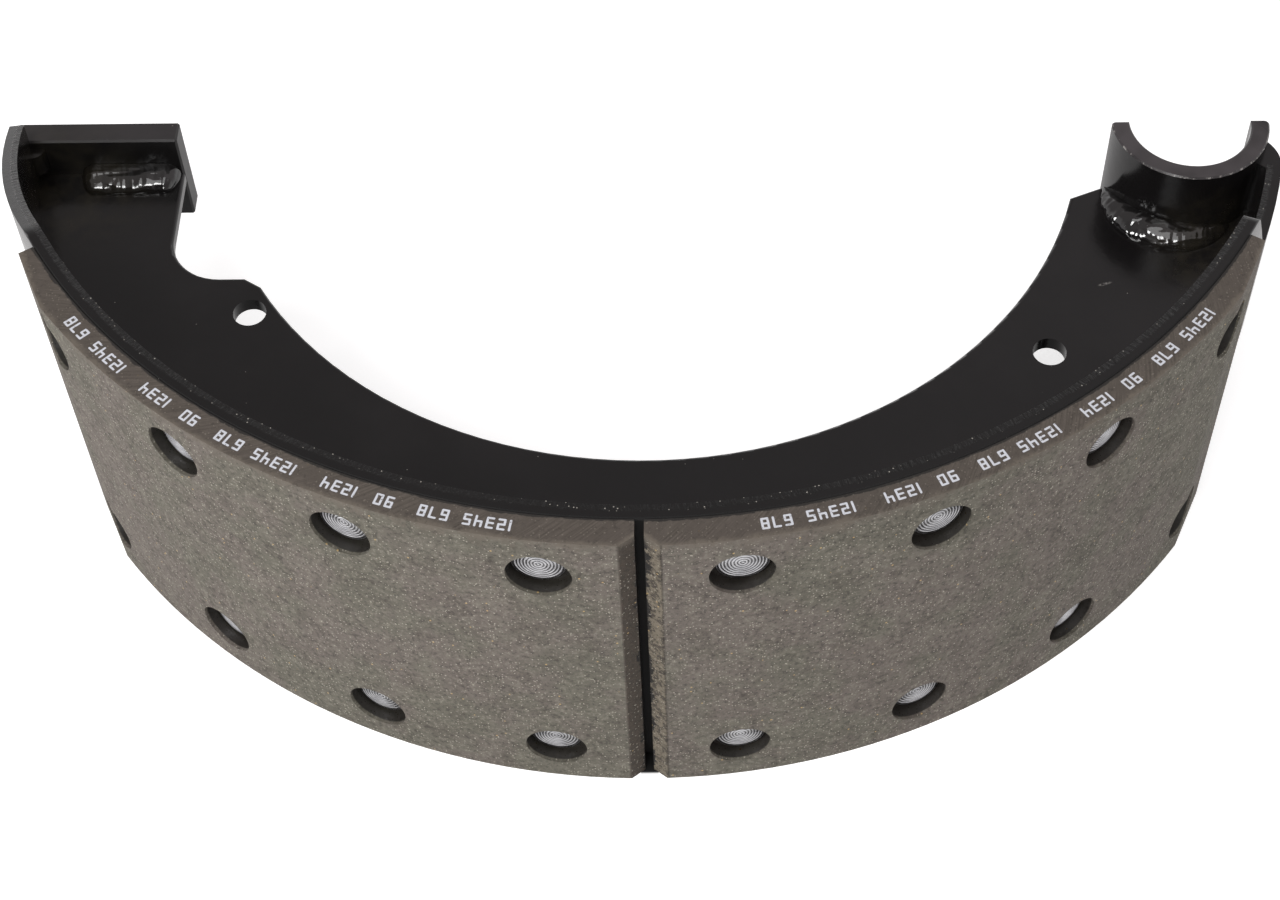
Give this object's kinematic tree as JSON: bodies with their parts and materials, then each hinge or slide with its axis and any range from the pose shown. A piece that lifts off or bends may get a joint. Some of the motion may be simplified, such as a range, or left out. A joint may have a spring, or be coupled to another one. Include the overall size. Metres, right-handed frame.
{
  "type": "drum brake shoe",
  "caption": "Curved drum-brake shoe: steel table and web with riveted friction linings, a flat cam pad at one end and a half-round anchor saddle at the other.",
  "frame": {"origin": "bottom centre of the whole shoe's box as it lies on its side; the drum axis is parallel to Z at X = 1.712 mm, Y = 110.368 mm", "axes": "+Z along the drum axis, up from the side the shoe lies on; -Y from the drum axis to the middle of the lining; -X towards the cam end, +X towards the anchor end"},
  "size_m": [0.3876, 0.1892, 0.12],
  "materials": {
    "black_paint": "gloss black paint",
    "friction_lining": "moulded friction composite with fibres, ground face",
    "rivet_metal": "turned rings"
  },
  "bodies": {
    "root": {"table": "black_paint", "web": "black_paint", "cam_pad": "black_paint", "anchor_saddle": "black_paint", "cam_pad_weld_upper": "black_paint", "cam_pad_weld_lower": "black_paint", "saddle_weld_upper": "black_paint", "saddle_weld_lower": "black_paint", "saddle_end_weld": "black_paint", "cam_corner_tack_upper": "black_paint", "cam_corner_tack_lower": "black_paint", "lining_cam_half": "friction_lining", "lining_anchor_half": "friction_lining", "rivet_upper_1": "rivet_metal", "rivet_upper_2": "rivet_metal", "rivet_upper_3": "rivet_metal", "rivet_upper_4": "rivet_metal", "rivet_upper_5": "rivet_metal", "rivet_upper_6": "rivet_metal", "rivet_upper_7": "rivet_metal", "rivet_upper_8": "rivet_metal", "rivet_lower_1": "rivet_metal", "rivet_lower_2": "rivet_metal", "rivet_lower_3": "rivet_metal", "rivet_lower_4": "rivet_metal", "rivet_lower_5": "rivet_metal", "rivet_lower_6": "rivet_metal", "rivet_lower_7": "rivet_metal", "rivet_lower_8": "rivet_metal"}
  },
  "joints": []
}
